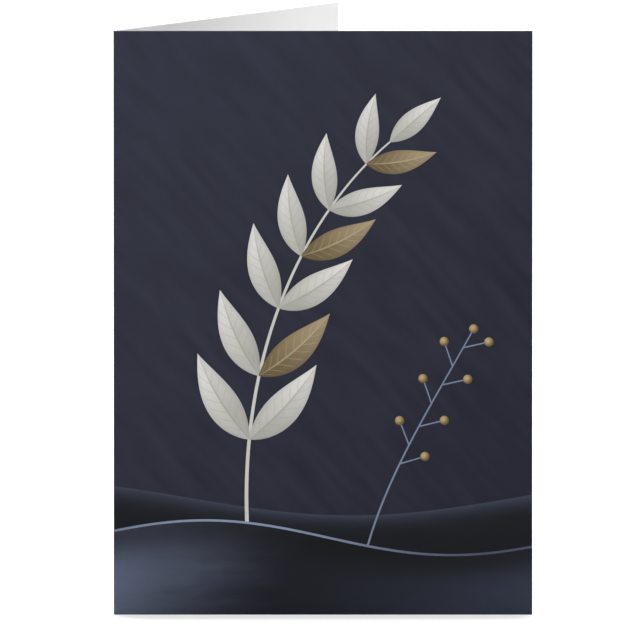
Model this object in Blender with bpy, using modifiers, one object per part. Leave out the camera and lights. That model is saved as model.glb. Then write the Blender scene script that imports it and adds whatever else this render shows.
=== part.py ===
"""A 5 by 7 inch greeting card: one sheet of coated card, printed on its front, folded and standing open.

The card is made as a printer makes it. The flat sheet is divided into its fields of ink, bent along its
crease, and given the thickness of the board. In plan the front lies along X and faces -Y, with the fold on
its left. Metres, +Z up, with the origin on the floor under the middle of the card's box.
"""

from math import cos, pi, radians, sin

import bpy
from mathutils import Vector
from mathutils.geometry import delaunay_2d_cdt, interpolate_bezier

# The sheet, each panel measured from the middle of the fold
panel_width = 0.127
panel_height = 0.1778
board_thickness = 0.0004

# The fold: the angle between the panels, the outer face's radius, and the bead that creasing raises inside
opening_angle = radians(57.5)
fold_radius = 0.00075
bead_height = 0.00012
fold_facets = 14

# The print. Its places are shares of the front, across from the fold and up. Its lengths are in metres.
hill_rise = 0.0053
far_hill_height = 0.20
far_hill_waves = 0.65
far_hill_start = radians(137)
near_hill_height = 0.13
near_hill_waves = 0.85
near_hill_start = radians(23)
rim_line_width = 0.0007

stem_root = (0.33, 0.06)
stem_pull = ((0.27, 0.40), (0.43, 0.67))
stem_tip = (0.66, 0.81)
stem_root_width = 0.0012
stem_tip_width = 0.0005
leaf_pairs = 6
first_leaf_share = 0.25
last_leaf_share = 0.91
leaf_length = 0.034
leaf_width = 0.0112
leaf_belly = 0.8
leaf_lean = radians(48)
leaf_curl = radians(-22)
leaf_stalk_width = 0.0004
top_leaf_share = 0.60

spray_root = (0.60, 0.10)
spray_pull = ((0.65, 0.24), (0.76, 0.36))
spray_tip = (0.86, 0.49)
spray_width = 0.0006
first_berry_share = 0.40
berry_count = 8
berry_radius = 0.0014
berry_stalk_length = 0.0080
berry_stalk_width = 0.0004

curve_points = 49
leaf_points = 15
berry_points = 20

# Paper and inks: name, colour, roughness
finishes = (
    ("coated_white", (0.80, 0.80, 0.78), 0.35),
    ("slate_ink", (0.032, 0.035, 0.053), 0.45),
    ("blue_grey_ink", (0.060, 0.070, 0.105), 0.45),
    ("rim_ink", (0.22, 0.26, 0.36), 0.45),
    ("charcoal_ink", (0.007, 0.008, 0.012), 0.45),
    ("cream_ink", (0.60, 0.60, 0.56), 0.45),
    ("ochre_ink", (0.24, 0.18, 0.09), 0.45),
    ("white_board", (0.86, 0.86, 0.84), 0.80),
)
finish_index = {name: index for index, (name, colour, roughness) in enumerate(finishes)}

bend = pi - opening_angle
half_fold = fold_radius * bend / 2
bend_lines = [half_fold * (1 - 2 * step / fold_facets) for step in range(fold_facets + 1)]


def between(first, last, share):
    return first + (last - first) * share


def on_front(across, up):
    """A point of the flat sheet, from shares of the front panel."""
    return Vector((across * panel_width, up * panel_height))


def along_curve(root, pull, tip):
    """Points along a smooth line over the front panel, from root to tip."""
    knots = [on_front(*place).to_3d() for place in (root, *pull, tip)]
    return [point.to_2d() for point in interpolate_bezier(*knots, curve_points)]


def index_along(line, share):
    return round(share * (len(line) - 1))


def direction_at(line, index):
    return (line[min(index + 1, len(line) - 1)] - line[max(index - 1, 0)]).normalized()


def left_of(direction):
    return Vector((-direction.y, direction.x))


def turned(direction, angle):
    return direction * cos(angle) + left_of(direction) * sin(angle)


def band(line, widths):
    """The outline of a band of ink along a line, with a width at each of the line's points."""
    halves = [left_of(direction_at(line, index)) * width / 2 for index, width in enumerate(widths)]
    right = [point - half for point, half in zip(line, halves)]
    left = [point + half for point, half in zip(line, halves)]
    return right + left[::-1]


def narrowing_band(line, root_width, tip_width):
    last = len(line) - 1
    return band(line, [between(root_width, tip_width, index / last) for index in range(len(line))])


def leaf(base, direction, length, curl):
    """A leaf's outline: widest below its middle, pointed at its tip, and turned by curl along its length."""
    line = [base]
    widths = [leaf_stalk_width]
    full_width = leaf_width * length / leaf_length
    steps = leaf_points - 1
    for step in range(1, leaf_points):
        share = step / steps
        line.append(line[-1] + turned(direction, curl * share) * length / steps)
        widths.append(max(full_width * sin(pi * share ** leaf_belly), leaf_stalk_width))
    return band(line, widths)


def berry(centre):
    angles = [2 * pi * step / berry_points for step in range(berry_points)]
    return [centre + Vector((cos(angle), sin(angle))) * berry_radius for angle in angles]


def hill_edge(height, waves, start):
    """The top of a rolling hill, from the fold to the front's free edge."""
    shares = [step / (curve_points - 1) for step in range(curve_points)]
    lift = Vector((0, hill_rise))
    return [on_front(share, height) + lift * sin(2 * pi * waves * share + start) for share in shares]


def under(edge):
    return [on_front(0, 0), on_front(1, 0)] + edge[::-1]


def far_hill():
    yield "blue_grey_ink", under(hill_edge(far_hill_height, far_hill_waves, far_hill_start))


def near_hill():
    """The near hill, with a thin line of light along its top."""
    edge = hill_edge(near_hill_height, near_hill_waves, near_hill_start)
    rim = Vector((0, rim_line_width))
    yield "rim_ink", under([point + rim for point in edge])
    yield "charcoal_ink", under(edge)


def sprig():
    """A leafy stem: pairs of leaves that shorten towards the tip, with one leaf at its end."""
    stem = along_curve(stem_root, stem_pull, stem_tip)
    yield "cream_ink", narrowing_band(stem, stem_root_width, stem_tip_width)
    for pair in range(leaf_pairs):
        share = between(first_leaf_share, last_leaf_share, pair / (leaf_pairs - 1))
        index = index_along(stem, share)
        length = leaf_length * between(1, top_leaf_share, share)
        for side in (1, -1):
            ink = "ochre_ink" if side < 0 and pair % 2 else "cream_ink"
            grows = turned(direction_at(stem, index), side * leaf_lean)
            yield ink, leaf(stem[index], grows, length, side * leaf_curl)
    last = len(stem) - 1
    yield "cream_ink", leaf(stem[last], direction_at(stem, last), leaf_length * top_leaf_share, 0)


def berry_spray():
    """A thin second stem, with a berry on a short stalk to each side in turn and one at its tip."""
    stem = along_curve(spray_root, spray_pull, spray_tip)
    yield "rim_ink", narrowing_band(stem, spray_width, berry_stalk_width)
    berries = [stem[-1]]
    for number in range(berry_count - 1):
        index = index_along(stem, between(first_berry_share, 1, number / (berry_count - 1)))
        grows = turned(direction_at(stem, index), leaf_lean if number % 2 else -leaf_lean)
        stalk = [stem[index], stem[index] + grows * berry_stalk_length]
        yield "rim_ink", narrowing_band(stalk, berry_stalk_width, berry_stalk_width)
        berries.append(stalk[-1])
    for centre in berries:
        yield "ochre_ink", berry(centre)


def printed_fields():
    """The sheet, the front's ground and each field of ink on it, from the lowest to the topmost."""
    sheet_corners = ((-1, 0), (1, 0), (1, 1), (-1, 1))
    front_corners = ((0, 0), (1, 0), (1, 1), (0, 1))
    yield "coated_white", [on_front(*corner) for corner in sheet_corners]
    yield "slate_ink", [on_front(*corner) for corner in front_corners]
    yield from far_hill()
    yield from sprig()
    yield from berry_spray()
    yield from near_hill()


def divided_sheet():
    """The flat sheet as triangles between its bend lines and fields, each with the topmost ink on it."""
    points, outlines, inks = [], [], []
    for ink, outline in printed_fields():
        outlines.append(list(range(len(points), len(points) + len(outline))))
        points += outline
        inks.append(ink)
    bends = []
    for x in bend_lines:
        bends.append((len(points), len(points) + 1))
        points += [Vector((x, 0)), Vector((x, panel_height))]
    inside_outlines = 1
    nearness = 1e-7
    vertices, _, triangles, _, _, fields_of_each = delaunay_2d_cdt(
        points, bends, outlines, inside_outlines, nearness)

    # Ink that runs past the front is trimmed to it, and what lies past the sheet is no part of it
    sheet, ground = 0, 1
    kept = [(triangle, fields) for triangle, fields in zip(triangles, fields_of_each) if sheet in fields]
    topmost = [inks[max(fields)] if ground in fields else inks[sheet] for triangle, fields in kept]
    return vertices, [triangle for triangle, fields in kept], topmost


def folded(point):
    """Where a point of the flat sheet's outer face lies once the card is folded."""
    x, height = point
    turn = min(max((half_fold - x) / fold_radius, 0), bend)
    on_arc = Vector((-sin(turn), 1 - cos(turn), 0)) * fold_radius
    ahead = Vector((-cos(turn), sin(turn), 0))
    beyond = half_fold - x - turn * fold_radius
    return on_arc + ahead * beyond + Vector((0, 0, height))


def board_share(point):
    """The board's thickness at a point of the sheet, as a share of its thickness at the crease."""
    bead = bead_height * cos(pi / 2 * min(abs(point.x) / half_fold, 1)) ** 2
    return (board_thickness + bead) / (board_thickness + bead_height)


def finish_material(name, colour, roughness):
    material = bpy.data.materials.new(name)
    material.use_nodes = True
    shader = material.node_tree.nodes["Principled BSDF"]
    shader.inputs["Base Color"].default_value = (*colour, 1)
    shader.inputs["Roughness"].default_value = roughness
    shader.inputs["Metallic"].default_value = 0
    material.diffuse_color = (*colour, 1)
    return material


def make_card(collection):
    """The folded card, standing on the floor with its box centred on the origin."""
    flat, triangles, inks = divided_sheet()
    standing = [folded(point) for point in flat]
    middle = Vector([(min(axis) + max(axis)) / 2 for axis in zip(*standing)])
    middle.z = 0
    mesh = bpy.data.meshes.new("folded_card")
    mesh.from_pydata([point - middle for point in standing], [], triangles)
    for finish in finishes:
        mesh.materials.append(finish_material(*finish))
    for face, ink in zip(mesh.polygons, inks):
        face.material_index = finish_index[ink]
        centre_x = sum(flat[index].x for index in face.vertices) / len(face.vertices)
        face.use_smooth = abs(centre_x) < half_fold
    card = bpy.data.objects.new("folded_card", mesh)
    collection.objects.link(card)

    board = card.vertex_groups.new(name="board")
    for index, point in enumerate(flat):
        board.add([index], board_share(point), "REPLACE")
    solid = card.modifiers.new("board", "SOLIDIFY")
    solid.thickness = board_thickness + bead_height
    solid.vertex_group = board.name
    solid.offset = -1
    solid.use_even_offset = True
    solid.material_offset = len(finishes)
    solid.material_offset_rim = len(finishes)


def main():
    for old in list(bpy.data.objects):
        bpy.data.objects.remove(old)
    collection = bpy.data.collections.new("greeting_card")
    bpy.context.scene.collection.children.link(collection)
    make_card(collection)


main()
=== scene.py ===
# A 5 by 7 inch greeting card: one folded sheet with a printed front, standing half open on a white floor.
from math import cos, pi, radians, sin, sqrt

import bmesh
import bpy
from mathutils import Matrix, Vector
from mathutils.geometry import interpolate_bezier


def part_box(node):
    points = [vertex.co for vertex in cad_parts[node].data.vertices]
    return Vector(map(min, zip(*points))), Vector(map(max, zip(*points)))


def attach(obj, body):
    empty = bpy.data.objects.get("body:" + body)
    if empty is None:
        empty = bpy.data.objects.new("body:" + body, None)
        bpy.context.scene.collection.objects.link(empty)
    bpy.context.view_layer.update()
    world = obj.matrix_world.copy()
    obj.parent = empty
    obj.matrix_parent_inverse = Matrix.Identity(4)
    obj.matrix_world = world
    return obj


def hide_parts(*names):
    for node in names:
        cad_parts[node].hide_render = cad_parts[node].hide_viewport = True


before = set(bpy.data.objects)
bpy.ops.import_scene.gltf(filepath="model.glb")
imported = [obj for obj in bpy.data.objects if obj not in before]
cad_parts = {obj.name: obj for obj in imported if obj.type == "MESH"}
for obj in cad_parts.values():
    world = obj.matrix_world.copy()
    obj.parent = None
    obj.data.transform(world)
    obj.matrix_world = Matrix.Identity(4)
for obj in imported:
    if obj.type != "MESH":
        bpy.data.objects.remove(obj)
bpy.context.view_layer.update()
low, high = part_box("folded_card")
print("card box", [round(side * 1000, 2) for side in high - low], "mm")

sheet = {
    "opening": radians(57.5),    # between the panels
    "board": 0.0004,
    "foldRadius": 0.00075,       # of the outer face
    "foldFacets": 40,
    "bead": 0.00012,             # what creasing raises on the inside
    "knifeRound": 0.00018,       # how far the cut edges are rounded
    "knifeFacets": 4,
    "cornerAngle": radians(50),  # an edge that turns more than this is a cut edge
    "hair": 1e-7,                # closer than this counts as touching
}
bend = pi - sheet["opening"]
foldArc = sheet["foldRadius"] * bend
foldStart = low.x + sheet["foldRadius"]      # the front is flat from here to its free edge
foldMiddle = foldStart - foldArc / 2         # before it is bent
frontWidth = high.x - foldMiddle
frontHeight = high.z - low.z

inks = {
    "soak": 0.000005,            # how deep each ink lies in the board
    "trim": 0.000018,            # bare board left at the lower and the free edge
    "topTrim": 0.00005,          # and at the top, where it shows as a thin light line
    "pastFold": 0.00050,         # how far the print runs on round the fold
    "ground": 0.000018,          # from here on, heights over the board
    "farHill": 0.000030,
    "stem": 0.000042,
    "leaf": 0.000048,
    "leafStep": 0.000003,        # each leaf lies this much over the one before
    "berry": 0.000054,
    "rim": 0.000054,
    "nearHill": 0.000062,
}
cells = {                        # how finely each flat shape is divided, along and across, or round
    "panel": (64, 48), "hill": (96, 10), "stem": (96, 2), "leaf": (24, 12), "stalk": (4, 2), "berry": 28,
}


# flat shapes, laid on the front before it is folded

def between(first, last, share):
    return first + (last - first) * share


def onFront(across, up):
    return Vector((foldMiddle + across * frontWidth, low.y + inks["soak"], low.z + up * frontHeight))


def newSheet():
    shape = bmesh.new()
    shape.loops.layers.uv.new("print")
    return shape


def addGrid(shape, kind):
    # runs from -0.5 to 0.5 both ways, with UVs from 0 to 1
    along, across = cells[kind]
    made = bmesh.ops.create_grid(shape, x_segments=along, y_segments=across, size=0.5, calc_uvs=True)
    return made["verts"]


def layBand(shape, kind, spine, widthAt, lift=0.0):
    # a grid laid along a line on the front, its far side to the line's left, and lifted off the board
    last = len(spine) - 1
    for vert in addGrid(shape, kind):
        share = vert.co.x + 0.5
        at = share * last
        index = min(int(at), last - 1)
        point = spine[index].lerp(spine[index + 1], at - index)
        ahead = (spine[min(index + 2, last)] - spine[max(index - 1, 0)]).normalized()
        left = Vector((-ahead.z, 0, ahead.x))
        vert.co = point + left * vert.co.y * widthAt(share) - Vector((0, lift, 0))


def printedAcross(share):
    # from just round the fold, at 0, to the trim at the free edge, at 1
    return between(-inks["pastFold"] / frontWidth, 1 - inks["trim"] / frontWidth, share)


def layField(shape, kind, topAt):
    # a grid from the trim at the lower edge up to topAt
    bottom = inks["trim"] / frontHeight
    for vert in addGrid(shape, kind):
        across = printedAcross(vert.co.x + 0.5)
        vert.co = onFront(across, between(bottom, topAt(across), vert.co.y + 0.5))


def addLine(shape, place, across, cutOff=False):
    # an edge where the plane meets the shape; cutOff drops what lies beyond it
    everything = shape.verts[:] + shape.edges[:] + shape.faces[:]
    bmesh.ops.bisect_plane(shape, geom=everything, dist=sheet["hair"], plane_co=place, plane_no=across,
                           clear_outer=cutOff)


def roundEdges(shape):
    # trims the print at the lower and the free edge, and takes it down the knife's rounding
    addLine(shape, (0, 0, low.z + inks["trim"]), (0, 0, -1), True)
    addLine(shape, (high.x - inks["trim"], 0, 0), (1, 0, 0), True)
    radius, facets = sheet["knifeRound"], sheet["knifeFacets"]
    for facet in range(1, facets + 1):
        inset = radius * (1 - cos(pi / 2 * facet / facets))
        addLine(shape, (0, 0, low.z + inset), (0, 0, 1))
        addLine(shape, (0, 0, high.z - inset), (0, 0, 1))
        addLine(shape, (high.x - inset, 0, 0), (1, 0, 0))
    for vert in shape.verts:
        inset = min(vert.co.z - low.z, high.z - vert.co.z, high.x - vert.co.x)
        if inset < radius:
            vert.co.y += radius - sqrt(radius ** 2 - (radius - inset) ** 2)


def foldSheet(shape):
    # bends what lies past the fold's start, line by line from the farthest one
    facets = sheet["foldFacets"]
    lines = [foldStart - foldArc * step / facets for step in range(facets + 1)]
    for x in lines:
        addLine(shape, (x, 0, 0), (1, 0, 0))
    past = [[vert for vert in shape.verts if vert.co.x < x - sheet["hair"]] for x in lines]
    turn = Matrix.Rotation(-bend / len(lines), 3, "Z")
    for x, verts in zip(lines[::-1], past[::-1]):
        bmesh.ops.rotate(shape, verts=verts, cent=(x, low.y, 0), matrix=turn)


def addObject(name, data):
    added = bpy.data.objects.new(name, data)
    bpy.context.scene.collection.objects.link(added)
    return added


def addMesh(name, shape, materials):
    mesh = bpy.data.meshes.new(name)
    shape.to_mesh(mesh)
    shape.free()
    for material in materials:
        mesh.materials.append(material)
    return addObject(name, mesh)


def makePiece(name, shape, materials):
    piece = addMesh(name, shape, materials)
    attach(piece, "root")
    return piece


def makeInk(name, shape, material, height):
    roundEdges(shape)
    foldSheet(shape)
    piece = makePiece(name, shape, [material])
    body = piece.modifiers.new("ink", "SOLIDIFY")
    body.thickness = height + inks["soak"]
    body.offset = 1


# nodes

def addNode(tree, kind, **settings):
    node = tree.nodes.new(kind)
    for name, value in settings.items():
        setattr(node, name, value)
    return node


def setInputs(node, values):
    for name, value in values.items():
        node.inputs[name].default_value = value
    return node


def calculate(tree, operation, *values):
    # a Math node whose inputs are sockets or numbers
    node = addNode(tree, "ShaderNodeMath", operation=operation)
    for socket, value in zip(node.inputs, values):
        if isinstance(value, (int, float)):
            socket.default_value = value
        else:
            tree.links.new(value, socket)
    return node.outputs[0]


def smoothBetween(tree, value, start, end, first=0.0, last=1.0):
    node = addNode(tree, "ShaderNodeMapRange", interpolation_type="SMOOTHSTEP")
    tree.links.new(value, node.inputs["Value"])
    setInputs(node, {"From Min": start, "From Max": end, "To Min": first, "To Max": last})
    return node.outputs["Result"]


def mixColours(tree, share, first, second):
    # the sockets go by number, because a Mix node has an A, a B and a Result for each kind of value
    node = addNode(tree, "ShaderNodeMix", data_type="RGBA")
    factor, colourA, colourB = node.inputs[0], node.inputs[6], node.inputs[7]
    tree.links.new(share, factor)
    for socket, value in ((colourA, first), (colourB, second)):
        if isinstance(value, tuple):
            socket.default_value = (*value, 1)
        else:
            tree.links.new(value, socket)
    return node.outputs[2]


def shadeColour(tree, colour, tone):
    # a colour times a tone that changes over the surface
    node = addNode(tree, "ShaderNodeVectorMath", operation="SCALE")
    tree.links.new(colour, node.inputs[0])
    tree.links.new(tone, node.inputs["Scale"])
    return node.outputs[0]


def objectPlace(tree):
    return addNode(tree, "ShaderNodeTexCoord").outputs["Object"]


def splitPlace(tree, place):
    parts = addNode(tree, "ShaderNodeSeparateXYZ")
    tree.links.new(place, parts.inputs[0])
    return parts.outputs


def printUv(tree):
    # the piece's own UVs: along and across a band, or across and up a field or a berry
    return addNode(tree, "ShaderNodeUVMap", uv_map="print").outputs["UV"]


def printPlace(tree):
    return splitPlace(tree, printUv(tree))


def noiseOver(tree, place, size, detail=2, roughness=0.6):
    # size is about how wide one patch is, in metres
    node = addNode(tree, "ShaderNodeTexNoise")
    setInputs(node, {"Scale": 1 / size, "Detail": detail, "Roughness": roughness})
    tree.links.new(place, node.inputs["Vector"])
    return node.outputs["Fac"]


def wander(tree, noise, spread, around):
    # around, and up to half the spread more or less than it
    return calculate(tree, "MULTIPLY_ADD", calculate(tree, "SUBTRACT", noise, 0.5), spread, around)


def stretchPlace(tree, place, turn, stretch):
    # a pattern on it comes out stretched along each axis, and then turned
    node = addNode(tree, "ShaderNodeMapping", vector_type="TEXTURE")
    setInputs(node, {"Rotation": turn, "Scale": stretch})
    tree.links.new(place, node.inputs["Vector"])
    return node.outputs["Vector"]


def newGroup(name, inputs, outputs):
    # a socket whose name ends in Colour holds a colour, and any other a number
    group = bpy.data.node_groups.new(name, "ShaderNodeTree")
    for direction, names in (("INPUT", inputs), ("OUTPUT", outputs)):
        for socketName in names:
            kind = "NodeSocketColor" if socketName.endswith("Colour") else "NodeSocketFloat"
            group.interface.new_socket(name=socketName, in_out=direction, socket_type=kind)
    return group, group.nodes.new("NodeGroupInput").outputs, group.nodes.new("NodeGroupOutput").inputs


# surfaces that more than one material uses

surfaceOutputs = ["Colour", "Roughness", "Height"]
paperGrain = {
    "cloud": 0.0075, "cloudTone": 0.03,      # how unevenly the pulp settled
    "tooth": 0.00038,
    "fibre": 0.00026, "fibreStretch": 9,     # how thick, and how many times longer
    "fibreTurn": (0.3, 0.5, 0.4),            # in radians, so that none runs along an edge
    "fibreFrom": 0.58, "fibreTo": 0.74, "fibreRise": 0.4,
    "sheenSpread": 0.12,
}
inkGrain = {"grain": 0.00019, "grainShare": 0.5, "cloud": 0.0042, "sheenSpread": 0.20}


def makePaperSurface():
    # cloudy pulp, fibres both ways and a fine tooth
    group, given, put = newGroup("paper surface", ["Colour", "Roughness", "Fibre"], surfaceOutputs)
    look = paperGrain
    place = objectPlace(group)
    long = look["fibreStretch"]
    fibres = []
    for stretch in ((1, 1, long), (long, long, 1)):
        turned = stretchPlace(group, place, look["fibreTurn"], stretch)
        fibres.append(noiseOver(group, turned, look["fibre"]))
    threads = smoothBetween(group, calculate(group, "MAXIMUM", *fibres), look["fibreFrom"], look["fibreTo"])
    cloud = wander(group, noiseOver(group, place, look["cloud"], detail=3), look["cloudTone"], 1.0)
    tone = calculate(group, "SUBTRACT", cloud, calculate(group, "MULTIPLY", threads, given["Fibre"]))
    tooth = noiseOver(group, place, look["tooth"], detail=3)
    group.links.new(shadeColour(group, given["Colour"], tone), put["Colour"])
    group.links.new(wander(group, tooth, look["sheenSpread"], given["Roughness"]), put["Roughness"])
    group.links.new(calculate(group, "MULTIPLY_ADD", threads, look["fibreRise"], tooth), put["Height"])
    return group


def makeInkSurface():
    # ink that lies a little unevenly over the paper: fine grain and soft mottle
    group, given, put = newGroup("ink surface", ["Colour", "Roughness", "Mottle"], surfaceOutputs)
    look = inkGrain
    place = objectPlace(group)
    grain = noiseOver(group, place, look["grain"])
    cloud = noiseOver(group, place, look["cloud"], detail=4)
    uneven = wander(group, grain, look["grainShare"], calculate(group, "SUBTRACT", cloud, 0.5))
    tone = calculate(group, "MULTIPLY_ADD", uneven, given["Mottle"], 1.0)
    group.links.new(shadeColour(group, given["Colour"], tone), put["Colour"])
    group.links.new(wander(group, grain, look["sheenSpread"], given["Roughness"]), put["Roughness"])
    group.links.new(grain, put["Height"])
    return group


veinLook = {
    "tipFrom": 0.0, "tipTo": 0.95,           # where a leaf turns from its base colour to its tip's
    "shadedHalf": 0.84, "halfBlur": 0.03,    # one half of a leaf is darker, up to the middle rib
    "edgeFrom": 0.55, "edgeTone": 0.88,
    "slant": 0.16,
    "lineWidth": 0.085, "lineCore": 0.02,    # of a side vein, as a share of the way to the next
    "lineShare": 0.6, "lineEnds": (0.6, 0.98),
    "ribWidth": 0.085, "ribCore": 0.025,
}


def makeLeafPrint():
    # a leaf from its own UVs: base to tip, a shaded half, a middle rib and slanting veins
    names = ["Base Colour", "Tip Colour", "Vein Colour", "Vein Count", "Vein Strength"]
    group, given, put = newGroup("leaf print", names, ["Colour"])
    look = veinLook
    uv = printPlace(group)
    along, side = uv["X"], uv["Y"]
    across = calculate(group, "ABSOLUTE", calculate(group, "MULTIPLY_ADD", side, 2.0, -1.0))
    towardsTip = smoothBetween(group, along, look["tipFrom"], look["tipTo"])
    blade = mixColours(group, towardsTip, given["Base Colour"], given["Tip Colour"])
    blur = look["halfBlur"]
    half = smoothBetween(group, side, 0.5 - blur, 0.5 + blur, look["shadedHalf"], 1.0)
    edge = smoothBetween(group, across, look["edgeFrom"], 1.0, 1.0, look["edgeTone"])
    blade = shadeColour(group, blade, calculate(group, "MULTIPLY", half, edge))

    outwards = calculate(group, "MULTIPLY", across, look["slant"])
    fromRib = calculate(group, "SUBTRACT", along, outwards)
    slanted = calculate(group, "MULTIPLY", fromRib, given["Vein Count"])
    toNext = calculate(group, "PINGPONG", slanted, 0.5)
    veins = smoothBetween(group, toNext, look["lineCore"], look["lineWidth"], 1.0, 0.0)
    fading = smoothBetween(group, across, *look["lineEnds"], look["lineShare"], 0.0)
    rib = smoothBetween(group, across, look["ribCore"], look["ribWidth"], 1.0, 0.0)
    lines = calculate(group, "MAXIMUM", calculate(group, "MULTIPLY", veins, fading), rib)
    share = calculate(group, "MULTIPLY", lines, given["Vein Strength"])
    group.links.new(mixColours(group, share, blade, given["Vein Colour"]), put["Colour"])
    return group


paperSurface = makePaperSurface()
inkSurface = makeInkSurface()
leafPrint = makeLeafPrint()


# materials

def newMaterial(name):
    material = bpy.data.materials.new(name)
    material.use_nodes = True
    tree = material.node_tree
    return material, tree, tree.nodes["Principled BSDF"]


def useGroup(tree, group, values):
    # each value is a colour, a number or a socket
    node = addNode(tree, "ShaderNodeGroup", node_tree=group)
    for name, value in values.items():
        if isinstance(value, tuple):
            node.inputs[name].default_value = (*value, 1)
        elif isinstance(value, (int, float)):
            node.inputs[name].default_value = value
        else:
            tree.links.new(value, node.inputs[name])
    return node.outputs


def finishSurface(tree, shader, surface, look):
    shader.inputs["Specular IOR Level"].default_value = look["specular"]
    tree.links.new(surface["Colour"], shader.inputs["Base Color"])
    tree.links.new(surface["Roughness"], shader.inputs["Roughness"])
    bump = addNode(tree, "ShaderNodeBump")
    setInputs(bump, {"Distance": look["depth"], "Strength": look["strength"]})
    tree.links.new(surface["Height"], bump.inputs["Height"])
    tree.links.new(bump.outputs["Normal"], shader.inputs["Normal"])


def paperMaterial(name, look):
    material, tree, shader = newMaterial(name)
    values = {"Colour": look["colour"], "Roughness": look["roughness"], "Fibre": look["fibre"]}
    finishSurface(tree, shader, useGroup(tree, paperSurface, values), look)
    return material


inkFinish = {"roughness": 0.5, "specular": 0.12, "mottle": 0.22, "depth": 0.000008, "strength": 0.5}


def inkMaterial(name, colourOf, mottle=inkFinish["mottle"]):
    # colourOf(tree) returns the printed colour, before the ink's own unevenness
    material, tree, shader = newMaterial(name)
    values = {"Colour": colourOf(tree), "Roughness": inkFinish["roughness"], "Mottle": mottle}
    finishSurface(tree, shader, useGroup(tree, inkSurface, values), inkFinish)
    return material


# the folded sheet

boards = {
    "outside": {
        "colour": (0.84, 0.84, 0.83), "roughness": 0.38, "specular": 0.5,
        "fibre": 0.008, "depth": 0.000006, "strength": 0.6,
    },
    "inside": {
        "colour": (0.85, 0.85, 0.85), "roughness": 0.85, "specular": 0.3,
        "fibre": 0.02, "depth": 0.00002, "strength": 0.6,
    },
    "cut": {
        "colour": (0.86, 0.86, 0.85), "roughness": 0.9, "specular": 0.2,
        "fibre": 0.05, "depth": 0.00003, "strength": 0.6,
    },
}


def beadAt(point):
    # highest at the crease, and gone where the panels go flat
    axis = Vector((foldStart, low.y + sheet["foldRadius"]))
    crease = Vector((-sin(bend / 2), -cos(bend / 2)))
    away = min((point.xy - axis).angle(crease) / (bend / 2), 1)
    return sheet["bead"] * cos(pi / 2 * away) ** 2


def makeCard():
    # the sheet's outer face, from the back's free edge, at -1, to the front's, at 1, and then its thickness
    shape = newSheet()
    for vert in addGrid(shape, "panel"):
        vert.co = onFront(vert.co.x * 2, vert.co.y + 0.5)
    bmesh.ops.translate(shape, verts=shape.verts, vec=(0, -inks["soak"], 0))
    foldSheet(shape)
    thickest = sheet["board"] + sheet["bead"]
    thickness = shape.verts.layers.deform.verify()
    for vert in shape.verts:
        vert[thickness][0] = (sheet["board"] + beadAt(vert.co)) / thickest

    outside = paperMaterial("white coating", boards["outside"])
    inside = paperMaterial("uncoated board", boards["inside"])
    cut = paperMaterial("cut board", boards["cut"])
    card = makePiece("card_sheet", shape, [outside, inside, cut])
    card.vertex_groups.new(name="board")
    body = card.modifiers.new("board", "SOLIDIFY")
    body.thickness = thickest
    body.offset = -1
    body.vertex_group = "board"
    body.use_even_offset = True
    body.material_offset = 1     # inside
    body.material_offset_rim = 2     # cut
    knife = card.modifiers.new("knife", "BEVEL")
    knife.width = sheet["knifeRound"]
    knife.segments = sheet["knifeFacets"]
    knife.limit_method = "ANGLE"
    knife.angle_limit = sheet["cornerAngle"]
    for face in card.data.polygons:
        face.use_smooth = True
    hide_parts("folded_card")


makeCard()
print("card folded")

# the ground: slate over the whole front, lighter towards the upper left

ground = {
    "light": (0.0245, 0.0270, 0.0440),
    "deep": (0.0098, 0.0108, 0.0211),
    "upShare": 0.63, "leftShare": 0.50,      # of light, gained over the height and over the width
    "startShare": 0.09,          # and at the foot, halfway across
    "streak": 0.90, "streakSize": 0.0042, "streakStretch": 6, "streakTurn": radians(-42),
}


def groundColour(tree):
    place = objectPlace(tree)
    parts = splitPlace(tree, place)
    up = calculate(tree, "MULTIPLY_ADD", parts["Z"], ground["upShare"] / frontHeight, ground["startShare"])
    lift = calculate(tree, "MULTIPLY_ADD", parts["X"], -ground["leftShare"] / frontWidth, up)
    slanted = stretchPlace(tree, place, (0, ground["streakTurn"], 0), (1, 1, ground["streakStretch"]))
    streak = noiseOver(tree, slanted, ground["streakSize"], detail=1)
    share = addNode(tree, "ShaderNodeClamp")
    tree.links.new(wander(tree, streak, ground["streak"], lift), share.inputs["Value"])
    return mixColours(tree, share.outputs[0], ground["deep"], ground["light"])


def makeGround():
    shape = newSheet()
    layField(shape, "panel", lambda across: 1 - inks["topTrim"] / frontHeight)
    makeInk("slate_ground", shape, inkMaterial("slate ink", groundColour), inks["ground"])


makeGround()
print("ground printed")

# two rolling hills, the near one with a thin line of light along its top

hills = {
    "rise": 0.0053,
    "far": {"height": 0.20, "waves": 0.65, "start": radians(137)},
    "near": {"height": 0.13, "waves": 0.85, "start": radians(23)},
    "farTop": (0.036, 0.043, 0.066), "farFoot": (0.0020, 0.0026, 0.0048),
    "farFade": 15.0,             # a power: the higher, the sooner it darkens on the way down
    "nearLit": (0.090, 0.105, 0.160), "nearDark": (0.0050, 0.0062, 0.0105),
    "nearDim": (0.024, 0.029, 0.049),
    "nearDarkAt": 0.52, "nearDimAt": 1.2,    # across the front, and lit from 0
    "slope": 0.15,               # how far that leans along with the hill
    "crestTone": 0.24, "crestTo": 0.04, "mistFrom": 0.58,    # down the near hill, from its dark crest
    "wash": 0.16, "washSize": 0.0045, "washStretch": 5,
    "rimWidth": 0.0007,
    "rimBright": (0.20, 0.24, 0.35), "rimDim": (0.055, 0.065, 0.10),
    "rimBrightAt": 0.30, "rimFadeFrom": 0.05, "rimFadeTo": 0.62,
}


def hillTop(hill):
    lift = hills["rise"] / frontHeight
    return lambda across: hill["height"] + lift * sin(2 * pi * hill["waves"] * across + hill["start"])


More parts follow.
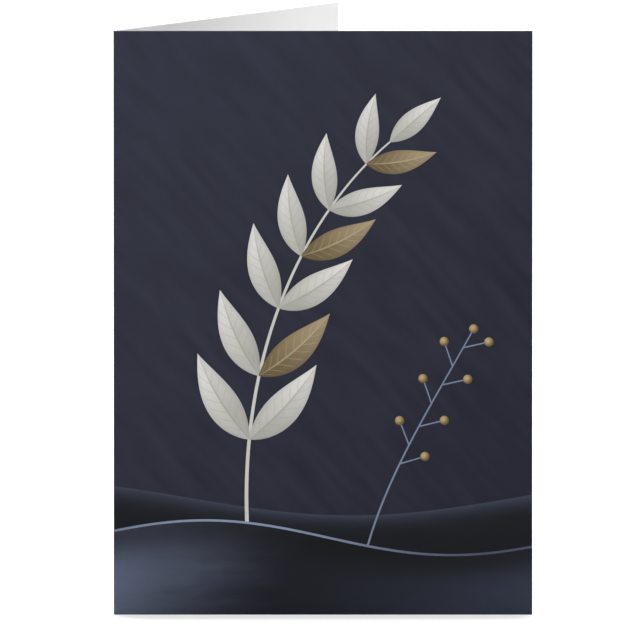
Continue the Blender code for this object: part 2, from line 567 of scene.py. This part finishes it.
def washOver(tree, share):
    # a share that wanders as broad strokes of a brush would leave it
    flat = stretchPlace(tree, objectPlace(tree), (0, 0, 0), (hills["washStretch"], 1, 1))
    return wander(tree, noiseOver(tree, flat, hills["washSize"], detail=4), hills["wash"], share)


def farColour(tree):
    rise = calculate(tree, "POWER", printPlace(tree)["Y"], hills["farFade"])
    return mixColours(tree, washOver(tree, rise), hills["farFoot"], hills["farTop"])


def nearColour(tree):
    # lit from the left, with a dark middle and a dim right, and rising out of mist
    uv = printPlace(tree)
    down = calculate(tree, "SUBTRACT", 1.0, uv["Y"])
    across = washOver(tree, calculate(tree, "MULTIPLY_ADD", down, hills["slope"], uv["X"]))
    dark, dim = hills["nearDarkAt"], hills["nearDimAt"]
    left = mixColours(tree, smoothBetween(tree, across, 0.0, dark), hills["nearLit"], hills["nearDark"])
    hill = mixColours(tree, smoothBetween(tree, across, dark, dim), left, hills["nearDim"])
    mist = smoothBetween(tree, down, hills["crestTo"], hills["mistFrom"], hills["crestTone"], 1.0)
    return shadeColour(tree, hill, mist)


def rimColour(tree):
    # brightest at one place, fading to both ends
    away = calculate(tree, "SUBTRACT", printPlace(tree)["X"], hills["rimBrightAt"])
    fade = smoothBetween(tree, calculate(tree, "ABSOLUTE", away), hills["rimFadeFrom"], hills["rimFadeTo"])
    return mixColours(tree, fade, hills["rimBright"], hills["rimDim"])


def makeHills():
    shape = newSheet()
    layField(shape, "hill", hillTop(hills["far"]))
    makeInk("far_hill", shape, inkMaterial("far hill ink", farColour), inks["farHill"])

    shape = newSheet()
    top = hillTop(hills["near"])
    layField(shape, "hill", top)
    makeInk("near_hill", shape, inkMaterial("near hill ink", nearColour), inks["nearHill"])

    # the rim's lower half lies under the near hill
    steps = cells["stem"][0]
    places = [printedAcross(step / steps) for step in range(steps + 1)]
    line = [onFront(across, top(across)) for across in places]
    shape = newSheet()
    layBand(shape, "stem", line, lambda share: 2 * hills["rimWidth"])
    makeInk("rim_line", shape, inkMaterial("rim ink", rimColour), inks["rim"])


makeHills()
print("hills printed")

# the leafy stem

sprig = {
    "root": (0.33, 0.06), "pull": ((0.27, 0.40), (0.43, 0.67)), "tip": (0.66, 0.81),
    "rootWidth": 0.0012, "tipWidth": 0.0005,
    "pairs": 6, "firstPair": 0.25, "lastPair": 0.91,
    "leafLength": 0.034, "leafWidth": 0.0112, "topShare": 0.60,
    "belly": 0.8,                # below 1, a leaf is widest nearer its base
    "lean": radians(48), "curl": radians(-22),
    "stalk": 0.0004, "point": 0.00008,       # a leaf's width where it starts and at its tip
    "stemColour": (0.50, 0.50, 0.46),
    "leafMottle": 0.16,
}
leafLooks = {
    "cream": {
        "Base Colour": (0.40, 0.40, 0.36), "Tip Colour": (0.64, 0.63, 0.60),
        "Vein Colour": (0.27, 0.26, 0.20), "Vein Count": 9.0, "Vein Strength": 0.55,
    },
    "ochre": {
        "Base Colour": (0.13, 0.095, 0.042), "Tip Colour": (0.32, 0.25, 0.15),
        "Vein Colour": (0.50, 0.43, 0.30), "Vein Count": 9.0, "Vein Strength": 0.45,
    },
}
curvePoints = 49


def plainColour(colour):
    # the same ink all over, for the surface group to make uneven
    return lambda tree: colour


def curveOnFront(line):
    knots = [onFront(*place) for place in (line["root"], *line["pull"], line["tip"])]
    return interpolate_bezier(*knots, curvePoints)


def placeOn(line, share):
    last = len(line) - 1
    index = round(share * last)
    return line[index], (line[min(index + 1, last)] - line[max(index - 1, 0)]).normalized()


def turnedOnFront(direction, angle):
    return Matrix.Rotation(-angle, 3, "Y") @ direction


def layLeaf(shape, base, direction, length, curl, lift):
    steps = cells["leaf"][0]
    fullWidth = sprig["leafWidth"] * length / sprig["leafLength"]
    spine = [base]
    for step in range(1, steps + 1):
        spine.append(spine[-1] + turnedOnFront(direction, curl * step / steps) * length / steps)

    def widthAt(share):
        least = between(sprig["stalk"], sprig["point"], share)
        return max(fullWidth * sin(pi * share ** sprig["belly"]), least)

    layBand(shape, "leaf", spine, widthAt, lift)


def leafInk(name, look):
    return inkMaterial(name, lambda tree: useGroup(tree, leafPrint, look)["Colour"], sprig["leafMottle"])


def makeSprig():
    stem = curveOnFront(sprig)
    shape = newSheet()
    layBand(shape, "stem", stem, lambda share: between(sprig["rootWidth"], sprig["tipWidth"], share))
    stemInk = inkMaterial("stem ink", plainColour(sprig["stemColour"]))
    makeInk("stem", shape, stemInk, inks["stem"])

    cream, ochre = newSheet(), newSheet()
    laid = 0
    for pair in range(sprig["pairs"]):
        share = between(sprig["firstPair"], sprig["lastPair"], pair / (sprig["pairs"] - 1))
        point, ahead = placeOn(stem, share)
        length = sprig["leafLength"] * between(1, sprig["topShare"], share)
        for side in (1, -1):
            shape = ochre if side < 0 and pair % 2 else cream
            grows = turnedOnFront(ahead, side * sprig["lean"])
            layLeaf(shape, point, grows, length, side * sprig["curl"], laid * inks["leafStep"])
            laid += 1
    point, ahead = placeOn(stem, 1)
    layLeaf(cream, point, ahead, sprig["leafLength"] * sprig["topShare"], 0, laid * inks["leafStep"])
    makeInk("cream_leaves", cream, leafInk("cream leaf ink", leafLooks["cream"]), inks["leaf"])
    makeInk("ochre_leaves", ochre, leafInk("ochre leaf ink", leafLooks["ochre"]), inks["leaf"])


makeSprig()
print("sprig printed")

# the berry spray

spray = {
    "root": (0.60, 0.10), "pull": ((0.65, 0.24), (0.76, 0.36)), "tip": (0.86, 0.49),
    "width": 0.0006, "stalkWidth": 0.0004, "stalkLength": 0.0080, "lean": radians(48),
    "firstBerry": 0.40, "berries": 8, "berryRadius": 0.0014,
    "stalkColour": (0.16, 0.19, 0.27),
    "berryShade": (0.12, 0.075, 0.028), "berryLight": (0.42, 0.31, 0.15),
    "lightAt": (0.36, 0.64, 0), "lightFrom": 0.05, "lightTo": 0.62,
}


def berryColour(tree):
    # round shading from the berry's own UVs, lit from its upper left
    away = addNode(tree, "ShaderNodeVectorMath", operation="DISTANCE")
    tree.links.new(printUv(tree), away.inputs[0])
    away.inputs[1].default_value = spray["lightAt"]
    share = smoothBetween(tree, away.outputs["Value"], spray["lightFrom"], spray["lightTo"])
    return mixColours(tree, share, spray["berryLight"], spray["berryShade"])


def makeSpray():
    stem = curveOnFront(spray)
    stalks, berries = newSheet(), newSheet()
    layBand(stalks, "stem", stem, lambda share: between(spray["width"], spray["stalkWidth"], share))
    centres = [stem[-1]]
    for number in range(spray["berries"] - 1):
        share = between(spray["firstBerry"], 1, number / (spray["berries"] - 1))
        point, ahead = placeOn(stem, share)
        grows = turnedOnFront(ahead, spray["lean"] if number % 2 else -spray["lean"])
        end = point + grows * spray["stalkLength"]
        layBand(stalks, "stalk", [point, end], lambda share: spray["stalkWidth"], inks["leafStep"])
        centres.append(end)
    for centre in centres:
        place = Matrix.Translation(centre) @ Matrix.Rotation(pi / 2, 4, "X")
        bmesh.ops.create_circle(berries, cap_ends=True, cap_tris=True, segments=cells["berry"],
                                radius=spray["berryRadius"], matrix=place, calc_uvs=True)
    stalkInk = inkMaterial("stalk ink", plainColour(spray["stalkColour"]))
    makeInk("berry_stalks", stalks, stalkInk, inks["stem"])
    makeInk("berries", berries, inkMaterial("berry ink", berryColour), inks["berry"])


makeSpray()
print("berries printed")

# floor, light and camera

studio = {
    "floorSize": 16.0,           # from its middle to each side
    "floorColour": 0.80,
    "floorGap": 0.00002,         # under the card
    "floorLift": 0.36,           # when seen directly, so that the floor is white and keeps its shadow
    "sky": 0.50,                 # as a light, and white when seen directly
    # strength is what each adds to a white surface that faces it, height is degrees above the floor, and
    # round is degrees from the front towards the right
    "suns": {
        "top": {"strength": 0.55, "height": 84.5, "round": 180, "softness": 6},
        "front": {"strength": 0.28, "height": 35, "round": -33, "softness": 30},
        "back": {"strength": 0.20, "height": 35, "round": 200, "softness": 30},
    },
    # a low strip of light that the front shades the inside from, more and more towards the fold
    "strip": {
        "power": 2.55, "width": 0.67, "height": 0.10,
        "distance": 1.0, "round": 55, "up": 0.06, "aimUp": 0.09,
    },
}


def seenDirectly(tree):
    # 1 for the camera, in a reflection and through glass, and 0 for the light that falls on a matt surface
    path = addNode(tree, "ShaderNodeLightPath")
    either = calculate(tree, "MAXIMUM", path.outputs["Is Camera Ray"], path.outputs["Is Glossy Ray"])
    return calculate(tree, "MAXIMUM", either, path.outputs["Is Transmission Ray"])


def floorMaterial():
    # matt, with its lift, and clear from beneath
    material, tree, shader = newMaterial("white floor")
    tree.nodes.remove(shader)
    matt = addNode(tree, "ShaderNodeBsdfDiffuse")
    matt.inputs["Color"].default_value = (*[studio["floorColour"]] * 3, 1)
    lift = addNode(tree, "ShaderNodeEmission")
    strength = calculate(tree, "MULTIPLY", seenDirectly(tree), studio["floorLift"])
    tree.links.new(strength, lift.inputs["Strength"])
    both = addNode(tree, "ShaderNodeAddShader")
    tree.links.new(matt.outputs[0], both.inputs[0])
    tree.links.new(lift.outputs[0], both.inputs[1])
    sided = addNode(tree, "ShaderNodeMixShader")
    tree.links.new(addNode(tree, "ShaderNodeNewGeometry").outputs["Backfacing"], sided.inputs[0])
    tree.links.new(both.outputs[0], sided.inputs[1])
    tree.links.new(addNode(tree, "ShaderNodeBsdfTransparent").outputs[0], sided.inputs[2])
    tree.links.new(sided.outputs[0], tree.nodes["Material Output"].inputs["Surface"])
    return material


def makeFloor():
    shape = bmesh.new()
    bmesh.ops.create_grid(shape, x_segments=1, y_segments=1, size=studio["floorSize"])
    bmesh.ops.translate(shape, verts=shape.verts, vec=(0, 0, low.z - studio["floorGap"]))
    floor = addMesh("floor", shape, [floorMaterial()])


def makeSky():
    world = bpy.data.worlds.new("studio")
    bpy.context.scene.world = world
    world.use_nodes = True
    tree = world.node_tree
    sky = tree.nodes["Background"]
    sky.inputs["Color"].default_value = (1, 1, 1, 1)
    strength = calculate(tree, "MULTIPLY_ADD", seenDirectly(tree), 1 - studio["sky"], studio["sky"])
    tree.links.new(strength, sky.inputs["Strength"])


def addAimed(name, data, place, backwards):
    # a lamp or a camera, which looks down its own -Z
    aimed = addObject(name, data)
    aimed.location = place
    aimed.rotation_mode = "QUATERNION"
    aimed.rotation_quaternion = backwards.to_track_quat("Z", "Y")
    return aimed


def addLamp(name, data, place, backwards):
    lamp = addAimed(name, data, place, backwards)
    lamp.visible_camera = False


def wayTo(height, turn):
    # a direction from degrees above the floor, and round from the front towards the right
    height, turn = radians(height), radians(turn)
    return Vector((cos(height) * sin(turn), -cos(height) * cos(turn), sin(height)))


def makeLamps():
    for name, sun in studio["suns"].items():
        data = bpy.data.lights.new(name, "SUN")
        data.energy = sun["strength"] * pi
        data.angle = radians(sun["softness"])
        backwards = wayTo(sun["height"], sun["round"])
        addLamp(name, data, backwards, backwards)
    strip = studio["strip"]
    data = bpy.data.lights.new("strip", "AREA")
    data.energy = strip["power"]
    data.shape = "RECTANGLE"
    data.size = strip["width"]
    data.size_y = strip["height"]
    place = wayTo(0, strip["round"]) * strip["distance"] + Vector((0, 0, strip["up"]))
    addLamp("strip", data, place, place - Vector((0, 0, strip["aimUp"])))


lens = {
    "elevation": radians(5.3),
    "distance": 8.0,             # to the front
    "viewWidth": 0.19527,        # what the frame spans at the front
    "sensor": 36.0,              # in millimetres
    "aimRight": -0.00031, "aimUp": 0.00030,  # from the front's middle
    "farthest": 60.0,            # nothing is drawn past this
}


def makeCamera():
    data = bpy.data.cameras.new("camera")
    data.sensor_width = lens["sensor"]
    data.lens = lens["sensor"] * lens["distance"] / lens["viewWidth"]
    data.clip_end = lens["farthest"]
    aim = Vector(((low.x + high.x) / 2 + lens["aimRight"], low.y, (low.z + high.z) / 2 + lens["aimUp"]))
    back = Vector((0, -cos(lens["elevation"]), sin(lens["elevation"])))
    bpy.context.scene.camera = addAimed("camera", data, aim + back * lens["distance"], back)


makeFloor()
makeSky()
makeLamps()
makeCamera()
bpy.context.scene.view_settings.view_transform = "Standard"
print("studio set")
